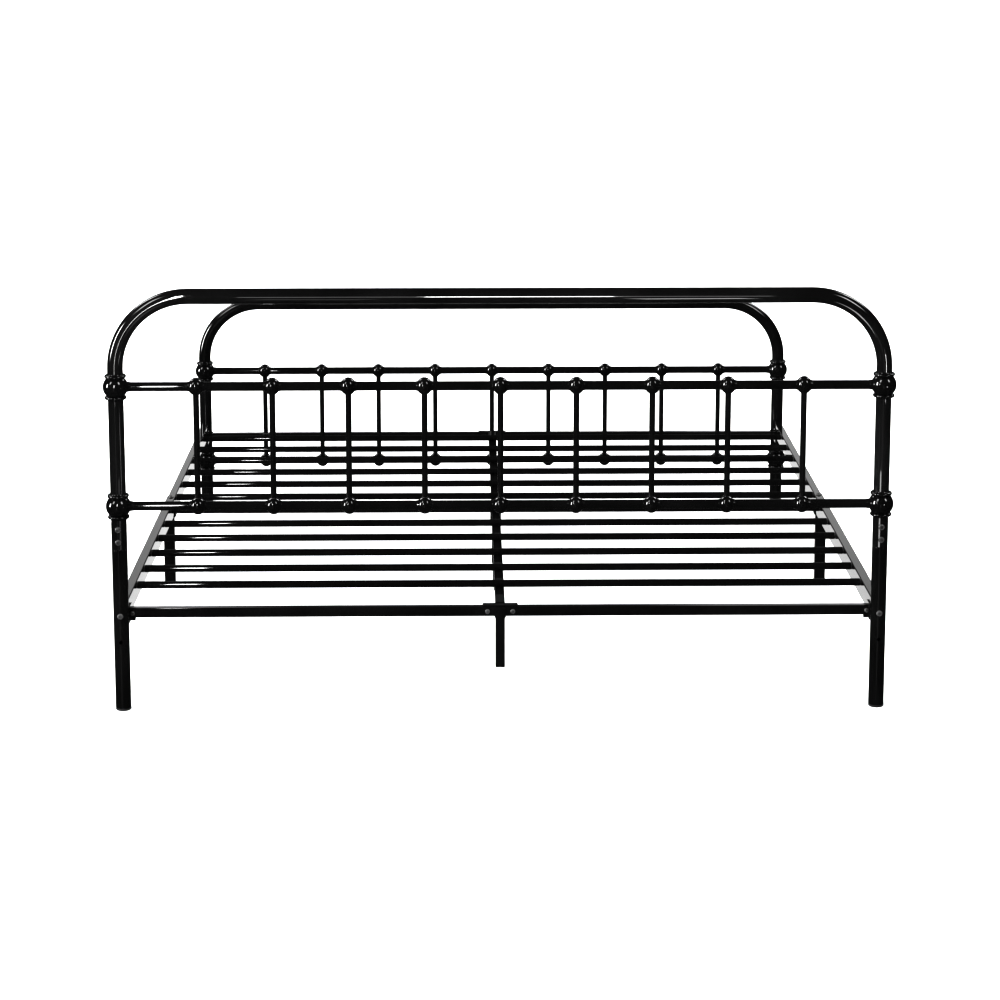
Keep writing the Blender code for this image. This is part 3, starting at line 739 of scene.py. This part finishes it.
def add_stage():
    """A wide pale floor, which the gloss of the paint doesn't mirror."""
    loops = [circle(radius, FLOOR_Z, FLOOR_SIDES) for radius in FLOOR_RINGS]
    vertices, faces = loft(loops)
    floor = bpy.data.objects.new("floor", build_mesh("floor", [(vertices, faces[:-1])]))
    bpy.context.scene.collection.objects.link(floor)
    material = bpy.data.materials.new("pale_floor")
    material.use_nodes = True
    tree = material.node_tree
    shader = tree.nodes["Principled BSDF"]
    shader.inputs["Base Color"].default_value = (*PAPER_WHITE, 1.0)
    shader.inputs["Roughness"].default_value = 0.9
    shader.inputs["Specular IOR Level"].default_value = 0.1
    floor.data.materials.append(material)
    floor.visible_glossy = False


def vector_dot(tree, direction, axis):
    """How far a direction points along an axis."""
    node = add_node(tree, "ShaderNodeVectorMath", operation="DOT_PRODUCT")
    node.inputs[1].default_value = axis
    tree.links.new(direction, node.inputs[0])
    return node.outputs["Value"]


def math_node(tree, operation, *values):
    """A math node whose inputs are numbers or other nodes' outputs."""
    node = add_node(tree, "ShaderNodeMath", operation=operation)
    for i, value in enumerate(values):
        if isinstance(value, (int, float)):
            node.inputs[i].default_value = value
        else:
            tree.links.new(value, node.inputs[i])
    return node.outputs["Value"]


def smooth_ramp(tree, value, low, high, at_low, at_high):
    """A smooth step from at_low to at_high, as the value goes from low to high."""
    node = add_node(tree, "ShaderNodeMapRange", interpolation_type="SMOOTHSTEP")
    for name, number in (("From Min", low), ("From Max", high), ("To Min", at_low), ("To Max", at_high)):
        node.inputs[name].default_value = number
    tree.links.new(value, node.inputs["Value"])
    return node.outputs["Result"]


def studio_box(tree, direction, azimuth, elevation, half_width, half_height, strength):
    """A bright soft-edged rectangle of the surround, by the direction of its middle, in degrees."""
    turn, rise = math.radians(azimuth), math.radians(elevation)
    ahead = Vector((math.sin(turn) * math.cos(rise), -math.cos(turn) * math.cos(rise), math.sin(rise)))
    across = Vector((math.cos(turn), math.sin(turn), 0.0))
    upward = ahead.cross(across)
    facing = vector_dot(tree, direction, ahead)
    level = smooth_ramp(tree, facing, 0.0, 0.05, 0.0, strength)
    for axis, half in ((across, half_width), (upward, half_height)):
        half = math.tan(math.radians(half))
        offset = math_node(tree, "DIVIDE", vector_dot(tree, direction, axis), facing)
        offset = math_node(tree, "ABSOLUTE", offset)
        edge = smooth_ramp(tree, offset, half * (1 - BOX_EDGE), half * (1 + BOX_EDGE), 1.0, 0.0)
        level = math_node(tree, "MULTIPLY", level, edge)
    return level


def add_surround():
    """The white backdrop that the camera sees, and the dim room with bright boxes that the gloss mirrors."""
    world = bpy.data.worlds.new("studio")
    bpy.context.scene.world = world
    world.use_nodes = True
    tree = world.node_tree
    direction = add_node(tree, "ShaderNodeTexCoord").outputs["Generated"]
    along = vector_dot(tree, direction, (0.0, 1.0, 0.0))
    upward = vector_dot(tree, direction, (0.0, 0.0, 1.0))
    level = smooth_ramp(tree, along, *WALL_EDGE, 0.0, 1.0)
    level = math_node(tree, "MULTIPLY", level, smooth_ramp(tree, upward, *WALL_RISE, *WALL_STRENGTH))
    level = math_node(tree, "ADD", level, ROOM_STRENGTH)
    for box in STUDIO_BOXES:
        level = math_node(tree, "ADD", level, studio_box(tree, direction, *box))
    background = tree.nodes["Background"]
    background.inputs["Color"].default_value = (1.0, 1.0, 1.0, 1.0)
    seen = add_node(tree, "ShaderNodeLightPath").outputs["Is Camera Ray"]
    backdrop = math_node(tree, "MULTIPLY", seen, BACKDROP_STRENGTH)
    level = math_node(tree, "MULTIPLY", level, math_node(tree, "SUBTRACT", 1.0, seen))
    tree.links.new(math_node(tree, "ADD", level, backdrop), background.inputs["Strength"])


def add_lights():
    """A wide soft light from above that isn't mirrored, and the area lights that draw the highlights."""
    sky = bpy.data.lights.new("overhead", "SUN")
    sky.energy = SUN_STRENGTH
    sky.angle = math.radians(SUN_ANGLE)
    overhead = bpy.data.objects.new("overhead", sky)
    overhead.rotation_euler = (math.radians(SUN_TILT), math.radians(-SUN_TILT), 0)
    overhead.visible_glossy = False
    bpy.context.scene.collection.objects.link(overhead)
    for name, light in AREA_LIGHTS.items():
        data = bpy.data.lights.new(name, "AREA")
        data.shape = "RECTANGLE"
        data.size, data.size_y = light["size"]
        data.energy = light["power"]
        lamp = bpy.data.objects.new(name, data)
        lamp.location = light["place"]
        ahead = Vector(light["target"]) - Vector(light["place"])
        lamp.rotation_euler = ahead.to_track_quat("-Z", "Y").to_euler()
        lamp.visible_camera = False
        bpy.context.scene.collection.objects.link(lamp)
        if light["falls_on"]:
            receivers = bpy.data.collections.new(name)
            for piece_name in light["falls_on"]:
                receivers.objects.link(bpy.data.objects[piece_name])
            lamp.light_linking.receiver_collection = receivers


def add_camera():
    """A view square to the headboard, from a little above it."""
    data = bpy.data.cameras.new("camera")
    data.sensor_width = 36.0
    data.lens = LENS_MM
    data.shift_y = LENS_SHIFT_Y
    data.clip_end = 100.0
    camera = bpy.data.objects.new("camera", data)
    camera.location = CAMERA_PLACE
    camera.rotation_euler = (math.pi / 2 - CAMERA_PITCH, 0.0, -CAMERA_YAW)
    bpy.context.scene.collection.objects.link(camera)
    bpy.context.scene.camera = camera


def set_tones():
    """Straight tones with more contrast, so that the white backdrop eats less into the thin black tubes."""
    bpy.context.scene.view_settings.view_transform = "Standard"
    bpy.context.scene.view_settings.gamma = TONE_GAMMA


for thing in list(bpy.data.objects):
    bpy.data.objects.remove(thing, do_unlink=True)
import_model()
add_camera()
LOOKS = make_looks()
add_hoops()
add_head_legs()
add_rails()
add_spindles()
add_slats()
add_side_rails()
add_rail_bolts()
add_cross_rails()
add_centre_beam()
add_centre_legs()
add_side_legs()
add_floor_caps()
add_stage()
add_surround()
add_lights()
set_tones()
